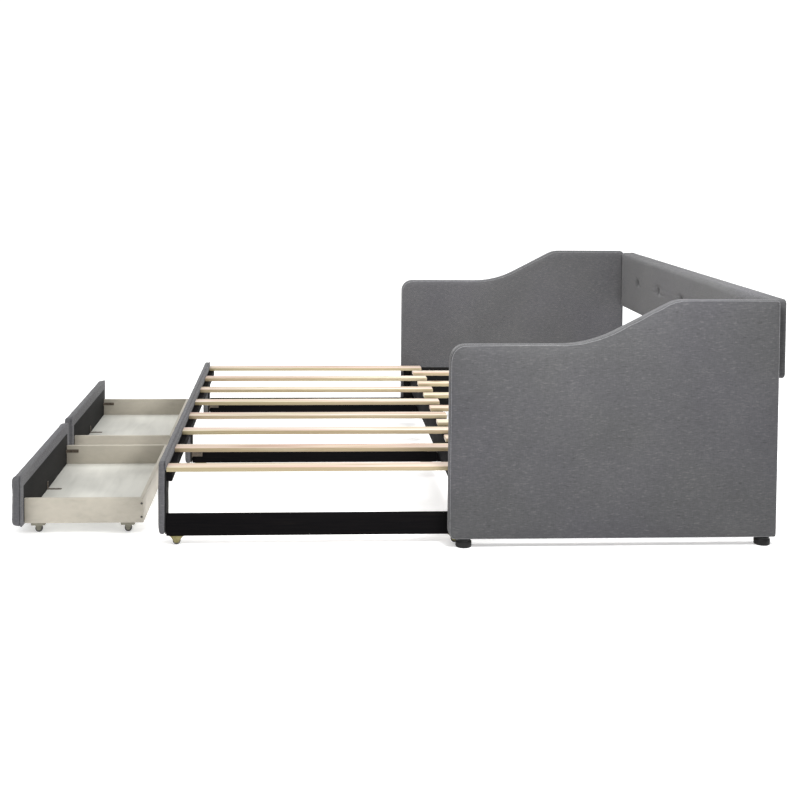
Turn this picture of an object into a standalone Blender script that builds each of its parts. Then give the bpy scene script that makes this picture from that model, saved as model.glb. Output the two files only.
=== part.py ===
"""Upholstered trundle bed, standing open.

A daybed with wave-topped arms carries a slatted trundle that rolls out of its front, and two
drawers roll out of the trundle's front frame. Metres, +Z up, X along the bed, front facing -Y.
Left and right are as seen from the front, so +X is on the right.
"""

import math

import bmesh
import bpy
from mathutils import Matrix, Vector

# Touching pieces keep this much air between them.
GAP = 0.0003

# Daybed: a twin frame between two upholstered arms.
BED_LENGTH = 2.050
ARM_THICKNESS = 0.060
ARM_DEPTH = 1.068
ARM_FRONT_Y = 0.154
ARM_LOW_TOP = 0.656
ARM_HIGH_TOP = 0.800
ARM_COVER_WALL = 0.012
ARM_EDGE_RADIUS = 0.008
FOOT_HEIGHT = 0.027
FOOT_RADIUS = 0.026
FOOT_FROM_FRONT = 0.050
FOOT_FROM_REAR = 0.040

# Upholstered back panel, held between the arms, with open space under it.
BACK_FRONT_Y = ARM_FRONT_Y + 1.050
BACK_THICKNESS = 0.061
BACK_BOTTOM = 0.533
BACK_TOP = 0.797
BACK_COVER_WALL = 0.014
BACK_EDGE_RADIUS = 0.014

# Rails that carry the daybed's slats.
RAIL_BOTTOM = 0.143
RAIL_TOP = 0.236
FRONT_RAIL_Y = ARM_FRONT_Y + 0.040
FRONT_RAIL_THICKNESS = 0.024
REAR_RAIL_Y = ARM_FRONT_Y + 1.022
REAR_RAIL_THICKNESS = 0.022

# Slats of the daybed and of the trundle lie at one height and pass between each other.
SLAT_WIDTH = 0.060
SLAT_THICKNESS = 0.014
SLAT_PITCH = 0.2651
TRUNDLE_SLATS = 8
DAYBED_SLATS = 7

# Trundle, drawn fully out of the daybed.
TRUNDLE_HALF_LENGTH = 0.960
TRUNDLE_FRONT_Y = ARM_FRONT_Y - 0.933
FRONT_THICKNESS = 0.028
FRONT_COVER_WALL = 0.010
FRONT_EDGE_RADIUS = 0.006
FRONT_BOTTOM = 0.030
FRONT_TOP = 0.272
DRAWER_BAY_TOP = 0.2055
END_STILE_WIDTH = 0.086
MIDDLE_STILE_WIDTH = 0.073
LEDGE_THICKNESS = 0.0187
FLOOR_RAIL_THICKNESS = 0.020
FLOOR_RAIL_BOTTOM = 0.029
FLOOR_RAIL_TOP = 0.099
REAR_BOARD_Y = ARM_FRONT_Y + 0.069
REAR_BOARD_THICKNESS = 0.021
REAR_BOARD_BOTTOM = 0.066
TRUNDLE_CASTER_YS = (ARM_FRONT_Y - 0.872, ARM_FRONT_Y + 0.026)

# Drawers, drawn fully out of the trundle.
DRAWER_FRONT_Y = ARM_FRONT_Y - 1.419
DRAWER_FRONT_THICKNESS = 0.0366
DRAWER_FRONT_WIDTH = 0.833
DRAWER_FRONT_TOP = 0.203
DRAWER_BOX_WIDTH = 0.755
DRAWER_BOX_BACK_Y = ARM_FRONT_Y - 0.993
DRAWER_BOX_BOTTOM = 0.036
DRAWER_BOX_TOP = 0.119
DRAWER_BOARD = 0.012
DRAWER_CASTER_INSET = 0.0275
DRAWER_CASTER_FRONT_INSET = 0.043
DRAWER_CASTER_REAR_INSET = 0.053

# Casters: a wheel on a pin between two V-shaped cheeks.
WHEEL_RADIUS = 0.0125
WHEEL_HALF_WIDTH = 0.0055
WHEEL_EDGE = 0.0014
PIN_RADIUS = 0.0025
BORE_RADIUS = 0.0031
FORK_HALF_WIDTH = 0.0095
FORK_SLOT_HALF_WIDTH = 0.0065
FORK_HALF_LENGTH = 0.0185
FORK_TIP_HALF_LENGTH = 0.0065
FORK_PLATE = 0.0025
FORK_EMBED = 0.001

# Turns a flat outline drawn in X and Y so that its depth runs along the named direction.
FACING_FRONT = (math.radians(90), 0.0, 0.0)
FACING_RIGHT = (math.radians(90), 0.0, math.radians(90))
FACING_LEFT = (math.radians(90), 0.0, math.radians(-90))

COLOURS = {
    "grey_fabric": ((0.155, 0.155, 0.162), 0.9, 0.0),
    "black_lining": ((0.012, 0.012, 0.013), 0.85, 0.0),
    "black_board": ((0.014, 0.014, 0.016), 0.6, 0.0),
    "pine": ((0.78, 0.62, 0.44), 0.6, 0.0),
    "drawer_board": ((0.60, 0.57, 0.50), 0.6, 0.0),
    "black_plastic": ((0.02, 0.02, 0.022), 0.45, 0.0),
    "wheel_plastic": ((0.25, 0.25, 0.24), 0.5, 0.0),
}


def clear_scene():
    for item in list(bpy.data.objects):
        bpy.data.objects.remove(item, do_unlink=True)


def make_material(name):
    colour, roughness, metallic = COLOURS[name]
    material = bpy.data.materials.new(name)
    material.use_nodes = True
    shader = material.node_tree.nodes["Principled BSDF"]
    shader.inputs["Base Color"].default_value = (*colour, 1.0)
    shader.inputs["Roughness"].default_value = roughness
    shader.inputs["Metallic"].default_value = metallic
    return material


def add_object(name, mesh, location, rotation=(0.0, 0.0, 0.0), parent=None):
    item = bpy.data.objects.new(name, mesh)
    bpy.context.scene.collection.objects.link(item)
    item.location = location
    item.rotation_euler = rotation
    if parent is not None:
        item.parent = parent
        item.matrix_parent_inverse = Matrix.Translation(-parent.location)
    return item


def slide_axis(name, location, parent=None):
    """Empty that a sliding body hangs from."""
    return add_object(name, None, location, parent=parent)


def mesh_from(bm, name, material):
    bmesh.ops.recalc_face_normals(bm, faces=bm.faces)
    mesh = bpy.data.meshes.new(name)
    bm.to_mesh(mesh)
    bm.free()
    mesh.materials.append(material)
    return mesh


def board(name, low, high, material, parent=None, bevel=0.0015):
    """Straight board between two opposite corners, with its arrises taken off."""
    low = Vector(low)
    high = Vector(high)
    bm = bmesh.new()
    bmesh.ops.create_cube(bm, size=1.0)
    bmesh.ops.scale(bm, vec=high - low, verts=bm.verts)
    bmesh.ops.bevel(bm, geom=bm.edges[:], offset=bevel, segments=1, affect="EDGES")
    return add_object(name, mesh_from(bm, name, material), (low + high) / 2, parent=parent)


def rounded_outline(corners, inset=0.0):
    """Points round a closed outline, moved inwards by inset, with each corner drawn as an arc.

    Each corner is (x, y, radius), in anticlockwise order. A corner that turns the other way
    grows its radius as the outline shrinks.
    """
    points = []
    for index, (x, y, radius) in enumerate(corners):
        before = Vector(corners[index - 1][:2])
        after = Vector(corners[(index + 1) % len(corners)][:2])
        here = Vector((x, y))
        arriving = (here - before).normalized()
        leaving = (after - here).normalized()
        turn = math.atan2(arriving.cross(leaving), arriving.dot(leaving))
        inward = Vector((-arriving.y, arriving.x))
        inward_after = Vector((-leaving.y, leaving.x))
        corner = here + inset * (inward + inward_after) / (1 + inward.dot(inward_after))
        side = math.copysign(1.0, turn)
        arc_radius = max(radius - side * inset, 0.002)
        start = corner - arriving * arc_radius * math.tan(abs(turn) / 2)
        centre = start + inward * side * arc_radius
        steps = 6 if radius > 0.03 else 3
        for step in range(steps + 1):
            spoke = Matrix.Rotation(turn * step / steps, 2) @ (start - centre)
            points.append(centre + spoke)
    return points


def loft(corners, stations):
    """Closed body through copies of one outline, each given as (inset, depth)."""
    bm = bmesh.new()
    rings = []
    for inset, depth in stations:
        outline = rounded_outline(corners, inset)
        rings.append([bm.verts.new((point.x, point.y, depth)) for point in outline])
    for lower, upper in zip(rings, rings[1:]):
        for index in range(len(lower)):
            after = (index + 1) % len(lower)
            bm.faces.new((lower[index], lower[after], upper[after], upper[index]))
    bm.faces.new(list(reversed(rings[0])))
    bm.faces.new(rings[-1])
    return bm


def upholstered(prefix, corners, thickness, wall, edge, place, rotation, parent=None):
    """A padded cover and the board inside it.

    The cover is a shallow pan with a rounded outer face, and the board fills it from behind.
    """
    rounding = []
    for step in range(4):
        angle = math.radians(90) * step / 3
        rounding.append((edge * (1 - math.cos(angle)), thickness - edge + edge * math.sin(angle)))
    pan = [(wall, thickness - wall), (wall, 0.0), (0.0, 0.0)] + rounding
    slab = [(wall + GAP, 0.0), (wall + GAP, thickness - wall - GAP)]
    cover = mesh_from(loft(corners, pan), prefix + "_cover", MATERIALS["grey_fabric"])
    core = mesh_from(loft(corners, slab), prefix + "_board", MATERIALS["black_lining"])
    add_object(prefix + "_cover", cover, place, rotation, parent)
    add_object(prefix + "_board", core, place, rotation, parent)


def mirrored(corners):
    return [(-x, y, radius) for x, y, radius in reversed(corners)]


def arm_outline():
    """Side view of an arm, from its front edge at 0: low in front, waving up to the back."""
    return [
        (0.0, FOOT_HEIGHT, 0.021),
        (ARM_DEPTH, FOOT_HEIGHT, 0.004),
        (ARM_DEPTH, ARM_HIGH_TOP, 0.006),
        (0.7275, ARM_HIGH_TOP, 0.110),
        (0.450, ARM_LOW_TOP, 0.400),
        (0.0, ARM_LOW_TOP, 0.050),
    ]


def rectangle(half_width, bottom, top, radius):
    return [
        (-half_width, bottom, radius),
        (half_width, bottom, radius),
        (half_width, top, radius),
        (-half_width, top, radius),
    ]


def build_arms():
    inner = BED_LENGTH / 2 - ARM_THICKNESS
    for prefix, side, rotation in (("right_arm", 1, FACING_RIGHT), ("left_arm", -1, FACING_LEFT)):
        corners = arm_outline() if side > 0 else mirrored(arm_outline())
        place = (side * inner, ARM_FRONT_Y, 0.0)
        upholstered(
            prefix, corners, ARM_THICKNESS, ARM_COVER_WALL, ARM_EDGE_RADIUS, place, rotation
        )
        middle = side * (inner + ARM_THICKNESS / 2)
        add_foot(prefix + "_front_foot", (middle, ARM_FRONT_Y + FOOT_FROM_FRONT, 0.0))
        add_foot(prefix + "_rear_foot", (middle, ARM_FRONT_Y + ARM_DEPTH - FOOT_FROM_REAR, 0.0))


def add_foot(name, place):
    """Round foot with softened rims."""
    soft = 0.003
    top = FOOT_HEIGHT - GAP
    profile = [(FOOT_RADIUS - soft, 0.0), (FOOT_RADIUS, soft)]
    profile += [(FOOT_RADIUS, top - soft), (FOOT_RADIUS - soft, top)]
    bm = bmesh.new()
    rings = []
    for radius, height in profile:
        ring = bmesh.ops.create_circle(
            bm, segments=28, radius=radius, matrix=Matrix.Translation((0, 0, height))
        )
        rings.append(ring["verts"])
    for lower, upper in zip(rings, rings[1:]):
        for index in range(len(lower)):
            after = (index + 1) % len(lower)
            bm.faces.new((lower[index], lower[after], upper[after], upper[index]))
    bm.faces.new(rings[0])
    bm.faces.new(rings[-1])
    mesh = mesh_from(bm, name, MATERIALS["black_plastic"])
    mesh.shade_smooth()
    mesh.set_sharp_from_angle(angle=math.radians(40))
    add_object(name, mesh, place)


def build_back():
    half = BED_LENGTH / 2 - ARM_THICKNESS - GAP
    corners = rectangle(half, BACK_BOTTOM, BACK_TOP, 0.012)
    place = (0.0, BACK_FRONT_Y + BACK_THICKNESS, 0.0)
    upholstered(
        "back", corners, BACK_THICKNESS, BACK_COVER_WALL, BACK_EDGE_RADIUS, place, FACING_FRONT
    )


def build_daybed_frame():
    half = BED_LENGTH / 2 - ARM_THICKNESS - GAP
    rails = (
        ("daybed_front_rail", FRONT_RAIL_Y, FRONT_RAIL_THICKNESS),
        ("daybed_rear_rail", REAR_RAIL_Y, REAR_RAIL_THICKNESS),
    )
    for name, y, thickness in rails:
        low = (-half, y, RAIL_BOTTOM)
        board(name, low, (half, y + thickness, RAIL_TOP), MATERIALS["black_board"])
    add_slats(
        "daybed_slat", DAYBED_SLATS, FRONT_RAIL_Y, REAR_RAIL_Y + REAR_RAIL_THICKNESS - 0.003
    )


def add_slats(prefix, count, y_low, y_high, parent=None):
    for index in range(count):
        x = (index - (count - 1) / 2) * SLAT_PITCH
        low = (x - SLAT_WIDTH / 2, y_low, RAIL_TOP + GAP)
        high = (x + SLAT_WIDTH / 2, y_high, RAIL_TOP + GAP + SLAT_THICKNESS)
        name = f"{prefix}_{index + 1}"
        board(name, low, high, MATERIALS["pine"], parent, bevel=0.002)


def box_mesh(name, low, high, material):
    low = Vector(low)
    high = Vector(high)
    bm = bmesh.new()
    bmesh.ops.create_cube(bm, size=1.0)
    bmesh.ops.scale(bm, vec=high - low, verts=bm.verts)
    bmesh.ops.translate(bm, vec=(low + high) / 2, verts=bm.verts)
    return mesh_from(bm, name, material)


def pin_mesh(name, material):
    """Axle pin along X, its ends sunk into the fork's cheeks."""
    half = (FORK_HALF_WIDTH + FORK_SLOT_HALF_WIDTH) / 2
    bm = bmesh.new()
    bmesh.ops.create_cone(
        bm, cap_ends=True, segments=16, radius1=PIN_RADIUS, radius2=PIN_RADIUS, depth=2 * half
    )
    bmesh.ops.rotate(bm, matrix=Matrix.Rotation(math.radians(90), 3, "Y"), verts=bm.verts)
    return mesh_from(bm, name, material)


def hidden_cutter(name, mesh, location=(0.0, 0.0, 0.0), rotation=(0.0, 0.0, 0.0)):
    item = add_object(name, mesh, location, rotation)
    item.hide_render = True
    item.display_type = "WIRE"
    return item


def combine(item, operation, other):
    """Add a Boolean modifier that joins the other object to this one, or cuts it away."""
    modifier = item.modifiers.new(other.name, "BOOLEAN")
    modifier.operation = operation
    modifier.object = other


def fork_mesh(name, carrier_bottom, material):
    """Fork for one wheel, with its origin on the axle and its top sunk into the carrier."""
    top = carrier_bottom + FORK_EMBED - WHEEL_RADIUS
    tip = FORK_TIP_HALF_LENGTH
    outline = [
        (-tip, -tip, 0.005),
        (tip, -tip, 0.005),
        (FORK_HALF_LENGTH, top, 0.001),
        (-FORK_HALF_LENGTH, top, 0.001),
    ]
    bm = loft(outline, [(0.0, -FORK_HALF_WIDTH), (0.0, FORK_HALF_WIDTH)])
    bmesh.ops.rotate(bm, matrix=Matrix.Rotation(math.radians(90), 3, "X"), verts=bm.verts)
    bmesh.ops.rotate(bm, matrix=Matrix.Rotation(math.radians(90), 3, "Z"), verts=bm.verts)
    cheeks = add_object(name, mesh_from(bm, name, material), (0.0, 0.0, 0.0))
    ceiling = top - FORK_EMBED - FORK_PLATE
    low = (-FORK_SLOT_HALF_WIDTH, -0.05, -0.05)
    high = (FORK_SLOT_HALF_WIDTH, 0.05, ceiling)
    slot = hidden_cutter(name + "_slot", box_mesh(name + "_slot", low, high, material))
    pin = hidden_cutter(name + "_pin", pin_mesh(name + "_pin", material))
    combine(cheeks, "DIFFERENCE", slot)
    combine(cheeks, "UNION", pin)
    evaluated = cheeks.evaluated_get(bpy.context.evaluated_depsgraph_get())
    finished = bpy.data.meshes.new_from_object(evaluated)
    for item in (cheeks, slot, pin):
        bpy.data.objects.remove(item, do_unlink=True)
    return finished


def wheel_mesh(material):
    """Wheel turned about X, with a bore for the pin and rounded rims."""
    rim = WHEEL_RADIUS - WHEEL_EDGE
    edge = WHEEL_HALF_WIDTH - WHEEL_EDGE
    profile = [
        (-WHEEL_HALF_WIDTH, BORE_RADIUS),
        (-WHEEL_HALF_WIDTH, rim),
        (-edge, WHEEL_RADIUS),
        (edge, WHEEL_RADIUS),
        (WHEEL_HALF_WIDTH, rim),
        (WHEEL_HALF_WIDTH, BORE_RADIUS),
    ]
    steps = 24
    bm = bmesh.new()
    rings = []
    for step in range(steps):
        turn = Matrix.Rotation(math.tau * step / steps, 3, "X")
        rings.append([bm.verts.new(turn @ Vector((x, 0.0, -radius))) for x, radius in profile])
    for index, ring in enumerate(rings):
        other = rings[(index + 1) % steps]
        for place in range(len(profile)):
            after = (place + 1) % len(profile)
            bm.faces.new((ring[place], ring[after], other[after], other[place]))
    mesh = mesh_from(bm, "caster_wheel", material)
    mesh.shade_smooth()
    mesh.set_sharp_from_angle(angle=math.radians(40))
    return mesh


def add_casters(carrier, prefix, places, fork, parent):
    """Join a fork under the carrier at each place, and hang a wheel in it."""
    for label, (x, y) in places:
        spot = (x, y, WHEEL_RADIUS)
        combine(carrier, "UNION", hidden_cutter(f"{prefix}_{label}_fork", fork, spot))
        add_object(f"{prefix}_{label}_wheel", MESHES["wheel"], spot, parent=parent)


def trundle_front_outline():
    """Front frame: a top rail over three legs, with a drawer bay between each two."""
    end = TRUNDLE_HALF_LENGTH
    bay_outer = end - END_STILE_WIDTH
    bay_inner = MIDDLE_STILE_WIDTH / 2
    low = FRONT_BOTTOM
    bay = DRAWER_BAY_TOP
    right_half = [
        (bay_inner, low, 0.004),
        (bay_inner, bay, 0.004),
        (bay_outer, bay, 0.004),
        (bay_outer, low, 0.004),
        (end, low, 0.012),
        (end, FRONT_TOP, 0.016),
    ]
    return right_half + mirrored(right_half)


def build_trundle():
    slide = slide_axis("trundle_slide_axis", (0.0, TRUNDLE_FRONT_Y, FRONT_TOP))
    back_y = TRUNDLE_FRONT_Y + FRONT_THICKNESS
    upholstered(
        "trundle_front",
        trundle_front_outline(),
        FRONT_THICKNESS,
        FRONT_COVER_WALL,
        FRONT_EDGE_RADIUS,
        (0.0, back_y, 0.0),
        FACING_FRONT,
        slide,
    )
    behind = back_y + GAP
    end = TRUNDLE_HALF_LENGTH
    black = MATERIALS["black_board"]
    low = (-end + 0.004, behind, DRAWER_BAY_TOP)
    board("trundle_slat_ledge", low, (end - 0.004, back_y + LEDGE_THICKNESS, RAIL_TOP), black, slide)
    rear_end = REAR_BOARD_Y + REAR_BOARD_THICKNESS
    low = (-end, REAR_BOARD_Y, REAR_BOARD_BOTTOM)
    board("trundle_rear_board", low, (end, rear_end, RAIL_TOP), black, slide)
    add_slats("trundle_slat", TRUNDLE_SLATS, behind, rear_end, slide)
    fork = fork_mesh("trundle_fork", FLOOR_RAIL_BOTTOM, black)
    centre = end - FLOOR_RAIL_THICKNESS / 2
    for label, x in (("left", -centre), ("middle", 0.0), ("right", centre)):
        prefix = f"trundle_{label}"
        half = FLOOR_RAIL_THICKNESS / 2
        low = (x - half, behind, FLOOR_RAIL_BOTTOM)
        high = (x + half, REAR_BOARD_Y - GAP, FLOOR_RAIL_TOP)
        rail = board(prefix + "_floor_rail", low, high, black, slide)
        places = [(name, (x, y)) for name, y in zip(("front", "rear"), TRUNDLE_CASTER_YS)]
        add_casters(rail, prefix, places, fork, slide)
    return slide


def build_drawer(prefix, x, fork, trundle):
    """Open box behind an upholstered front, standing on four casters."""
    slide = slide_axis(prefix + "_slide_axis", (x, DRAWER_FRONT_Y, DRAWER_BOX_BOTTOM), trundle)
    back_of_front = DRAWER_FRONT_Y + DRAWER_FRONT_THICKNESS
    corners = rectangle(DRAWER_FRONT_WIDTH / 2, FRONT_BOTTOM, DRAWER_FRONT_TOP, 0.008)
    upholstered(
        prefix + "_front",
        corners,
        DRAWER_FRONT_THICKNESS,
        FRONT_COVER_WALL,
        FRONT_EDGE_RADIUS,
        (x, back_of_front, 0.0),
        FACING_FRONT,
        slide,
    )
    wood = MATERIALS["drawer_board"]
    half = DRAWER_BOX_WIDTH / 2
    inside = half - DRAWER_BOARD
    y_low = back_of_front + GAP
    y_high = DRAWER_BOX_BACK_Y
    bottom = DRAWER_BOX_BOTTOM
    for label, side in (("left", -1), ("right", 1)):
        faces = sorted((x + side * inside, x + side * half))
        low = (faces[0], y_low, bottom)
        board(f"{prefix}_{label}_side", low, (faces[1], y_high, DRAWER_BOX_TOP), wood, slide, 0.001)
    inside -= GAP
    low = (x - inside, y_high - DRAWER_BOARD, bottom)
    board(prefix + "_back", low, (x + inside, y_high, DRAWER_BOX_TOP), wood, slide, 0.001)
    low = (x - inside, y_low, bottom)
    high = (x + inside, y_high - DRAWER_BOARD - GAP, bottom + DRAWER_BOARD)
    floor = board(prefix + "_bottom", low, high, wood, slide, 0.001)
    reach = half - DRAWER_CASTER_INSET
    front_y = back_of_front + DRAWER_CASTER_FRONT_INSET
    rear_y = y_high - DRAWER_CASTER_REAR_INSET
    places = [
        ("front_left", (x - reach, front_y)),
        ("front_right", (x + reach, front_y)),
        ("rear_left", (x - reach, rear_y)),
        ("rear_right", (x + reach, rear_y)),
    ]
    add_casters(floor, prefix, places, fork, slide)


def build_drawers(trundle):
    bay_outer = TRUNDLE_HALF_LENGTH - END_STILE_WIDTH
    centre = (bay_outer + MIDDLE_STILE_WIDTH / 2) / 2
    fork = fork_mesh("drawer_fork", DRAWER_BOX_BOTTOM, MATERIALS["drawer_board"])
    build_drawer("left_drawer", -centre, fork, trundle)
    build_drawer("right_drawer", centre, fork, trundle)


clear_scene()
MATERIALS = {name: make_material(name) for name in COLOURS}
MESHES = {"wheel": wheel_mesh(MATERIALS["wheel_plastic"])}
build_arms()
build_back()
build_daybed_frame()
build_drawers(build_trundle())
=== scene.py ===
"""Looks of the upholstered trundle bed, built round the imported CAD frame.

The bed stands fully open: +Z up, X along the bed, the front faces -Y, the near arm is at +X.
"""

import math

import bmesh
import bpy
from mathutils import Matrix, Vector, noise
from mathutils.bvhtree import BVHTree


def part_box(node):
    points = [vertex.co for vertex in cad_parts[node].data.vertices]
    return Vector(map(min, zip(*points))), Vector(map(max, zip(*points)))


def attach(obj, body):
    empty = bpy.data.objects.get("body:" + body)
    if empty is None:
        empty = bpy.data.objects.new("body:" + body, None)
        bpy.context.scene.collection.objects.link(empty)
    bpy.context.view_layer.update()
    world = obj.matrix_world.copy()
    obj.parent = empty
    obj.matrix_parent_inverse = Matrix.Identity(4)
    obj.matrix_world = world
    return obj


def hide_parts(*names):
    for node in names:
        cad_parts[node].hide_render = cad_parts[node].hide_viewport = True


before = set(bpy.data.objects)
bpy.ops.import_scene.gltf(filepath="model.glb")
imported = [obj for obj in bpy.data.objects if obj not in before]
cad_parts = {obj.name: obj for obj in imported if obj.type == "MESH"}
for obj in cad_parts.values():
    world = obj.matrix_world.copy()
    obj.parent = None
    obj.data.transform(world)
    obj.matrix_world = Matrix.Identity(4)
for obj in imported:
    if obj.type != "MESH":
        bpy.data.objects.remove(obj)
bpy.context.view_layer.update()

# Shapes that the CAD nodes' boxes don't say. PAD_ROOM is how far inside its cover's face a pad
# starts, before pressure blows it up.
ARM_WAVE_LOW_X = 0.450
ARM_WAVE_HIGH_X = 0.7275
ARM_LOW_DROP = 0.144
LINING_TOP = 0.241
LINING_THICKNESS = 0.0009
BAY_TOP = 0.2055
END_STILE = 0.086
MIDDLE_STILE = 0.073
PAD_DEPTH_TRUNDLE = 0.0240
PAD_DEPTH_DRAWER = 0.0300
BUTTON_PITCH = 0.330
BUTTON_HEIGHT = 0.680
BUTTON_COUNT = 5
BUTTON_RADIUS = 0.0100
TUFT_DEPTH = 0.013
SHOULDER = 0.022
WELT_RADIUS = 0.0011
PAD_ROOM = 0.003
AXLE_HEIGHT = 0.0125
FLOOR_RAIL_BOTTOM = 0.029
TRUNDLE_FORK_HALF = 0.0200
DRAWER_FORK_HALF = 0.0150
TRUNDLE_PLATE = 0.0020
DRAWER_PLATE = 0.0090

# Gap between pieces that touch, how far the boards' edges are rounded, how much the slats sway
# off straight, and how far apart a board's rings of points are.
FIT = 0.0002
BOARD_ARRIS = 0.0020
DRAWER_ARRIS = 0.0012
SLAT_ARRIS = 0.0013
SLAT_WOBBLE = 0.0004
BAR_RING_SPACING = 0.06

CLOTH_FRAMES = 20
PAD_PRESSURE = 4.0

SIDEWAYS = Vector((1.0, 0.0, 0.0))
BACKWARD = Vector((0.0, 1.0, 0.0))
FORWARD = -BACKWARD
UPWARD = Vector((0.0, 0.0, 1.0))

CAMERA_PLACE = (4.9746, -0.3190, 1.2667)
CAMERA_YAW = 0.0518
CAMERA_PITCH = 0.0383
CAMERA_ROLL = 0.0081
CAMERA_LENS = 56.528
CAMERA_SHIFT = (0.04, -0.25)

FLOOR_GLOW = 0.35
CEILING_LIGHT = 1.85
# Light from the sky by the sine of its elevation, as a share of the ceiling's.
WORLD_STOPS = [(0.0, 0.60), (0.15, 0.60), (0.20, 0.29), (0.58, 0.32), (0.80, 1.0)]

PADS = []


# ---------------------------------------------------------------- materials


class Recipe:
    """One node-based material: add() makes a node, and math() a sum on one or two values."""

    def __init__(self, name, roughness, metallic=0.0):
        self.material = bpy.data.materials.new(name)
        self.material.use_nodes = True
        self.tree = self.material.node_tree
        self.shader = self.tree.nodes["Principled BSDF"]
        self.set(self.shader, {"Roughness": roughness, "Metallic": metallic})
        self.place = self.add("ShaderNodeTexCoord").outputs["Object"]

    def set(self, node, inputs):
        for key, value in inputs.items():
            if isinstance(value, bpy.types.NodeSocket):
                self.tree.links.new(value, node.inputs[key])
            else:
                node.inputs[key].default_value = value

    def add(self, kind, inputs=None, **settings):
        node = self.tree.nodes.new(kind)
        for key, value in settings.items():
            setattr(node, key, value)
        self.set(node, inputs or {})
        return node

    def math(self, operation, first, second=0.0):
        node = self.add("ShaderNodeMath", {0: first, 1: second}, operation=operation)
        return node.outputs[0]

    def stretched(self, scale):
        mapping = self.add("ShaderNodeMapping", {"Vector": self.place, "Scale": scale})
        return mapping.outputs["Vector"]

    def noise(self, scale, detail=2.0, distortion=0.0, roughness=0.5):
        """Noise from 0 to 1, with its own scale along X, Y and Z in features per metre."""
        inputs = {
            "Vector": self.stretched(scale),
            "Scale": 1.0,
            "Detail": detail,
            "Distortion": distortion,
            "Roughness": roughness,
        }
        return self.add("ShaderNodeTexNoise", inputs).outputs["Fac"]

    def mixed(self, parts):
        """Weighted sum of noises about their middles, centred on 0.5."""
        total = 0.5
        for value, weight in parts:
            centred = self.math("SUBTRACT", value, 0.5)
            total = self.math("ADD", self.math("MULTIPLY", centred, weight), total)
        return total

    def threshold(self, value, low, high):
        """0 where the value is at low, and 1 at high; low may be the larger."""
        inputs = {"Value": value, "From Min": low, "From Max": high}
        return self.add("ShaderNodeMapRange", inputs).outputs["Result"]

    def blend(self, factor, first, second, share=1.0, kind="MIX"):
        """Mix the second colour over the first, by a factor from 0 to 1."""
        if share != 1.0:
            factor = self.math("MULTIPLY", factor, share)
        node = self.add("ShaderNodeMix", {"Factor": factor}, data_type="RGBA", blend_type=kind)
        for socket, value in ((node.inputs[6], first), (node.inputs[7], second)):
            if isinstance(value, bpy.types.NodeSocket):
                self.tree.links.new(value, socket)
            else:
                socket.default_value = (*value, 1.0)
        return node.outputs[2]

    def facing_sideways(self):
        """1 on faces that look along X, and 0 on those square to it."""
        normal = self.add("ShaderNodeNewGeometry").outputs["Normal"]
        split = self.add("ShaderNodeSeparateXYZ", {"Vector": normal})
        return self.threshold(self.math("ABSOLUTE", split.outputs["X"]), 0.5, 0.85)

    def ramp(self, factor, stops):
        node = self.add("ShaderNodeValToRGB", {"Fac": factor})
        elements = node.color_ramp.elements
        while len(elements) < len(stops):
            elements.new(0.5)
        for element, (position, colour) in zip(elements, stops):
            element.position = position
            element.color = (*colour, 1.0)
        return node.outputs["Color"]

    def finish(self, colour, height=None, strength=0.3, distance=0.001, roughness=None):
        self.set(self.shader, {"Base Color": colour})
        if height is not None:
            inputs = {"Height": height, "Strength": strength, "Distance": distance}
            bump = self.add("ShaderNodeBump", inputs)
            self.set(self.shader, {"Normal": bump.outputs["Normal"]})
        if roughness is not None:
            low, high = roughness[1:]
            spread = self.add(
                "ShaderNodeMapRange", {"Value": roughness[0], "To Min": low, "To Max": high}
            )
            self.set(self.shader, {"Roughness": spread.outputs["Result"]})
        return self.material


def weave(recipe, period):
    """Plain weave, from -1 to 1, lying in whichever plane the surface faces."""
    position = recipe.add("ShaderNodeSeparateXYZ", {"Vector": recipe.place})
    turns = math.tau / period
    x, y, z = (
        recipe.math("SINE", recipe.math("MULTIPLY", position.outputs[axis], turns))
        for axis in "XYZ"
    )
    planes = recipe.add(
        "ShaderNodeCombineXYZ",
        {
            "X": recipe.math("MULTIPLY", y, z),
            "Y": recipe.math("MULTIPLY", x, z),
            "Z": recipe.math("MULTIPLY", x, y),
        },
    )
    normal = recipe.add("ShaderNodeNewGeometry").outputs["Normal"]
    squared = recipe.add("ShaderNodeVectorMath", {0: normal, 1: normal}, operation="MULTIPLY")
    dot = recipe.add(
        "ShaderNodeVectorMath",
        {0: planes.outputs["Vector"], 1: squared.outputs["Vector"]},
        operation="DOT_PRODUCT",
    )
    return dot.outputs["Value"]


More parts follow.
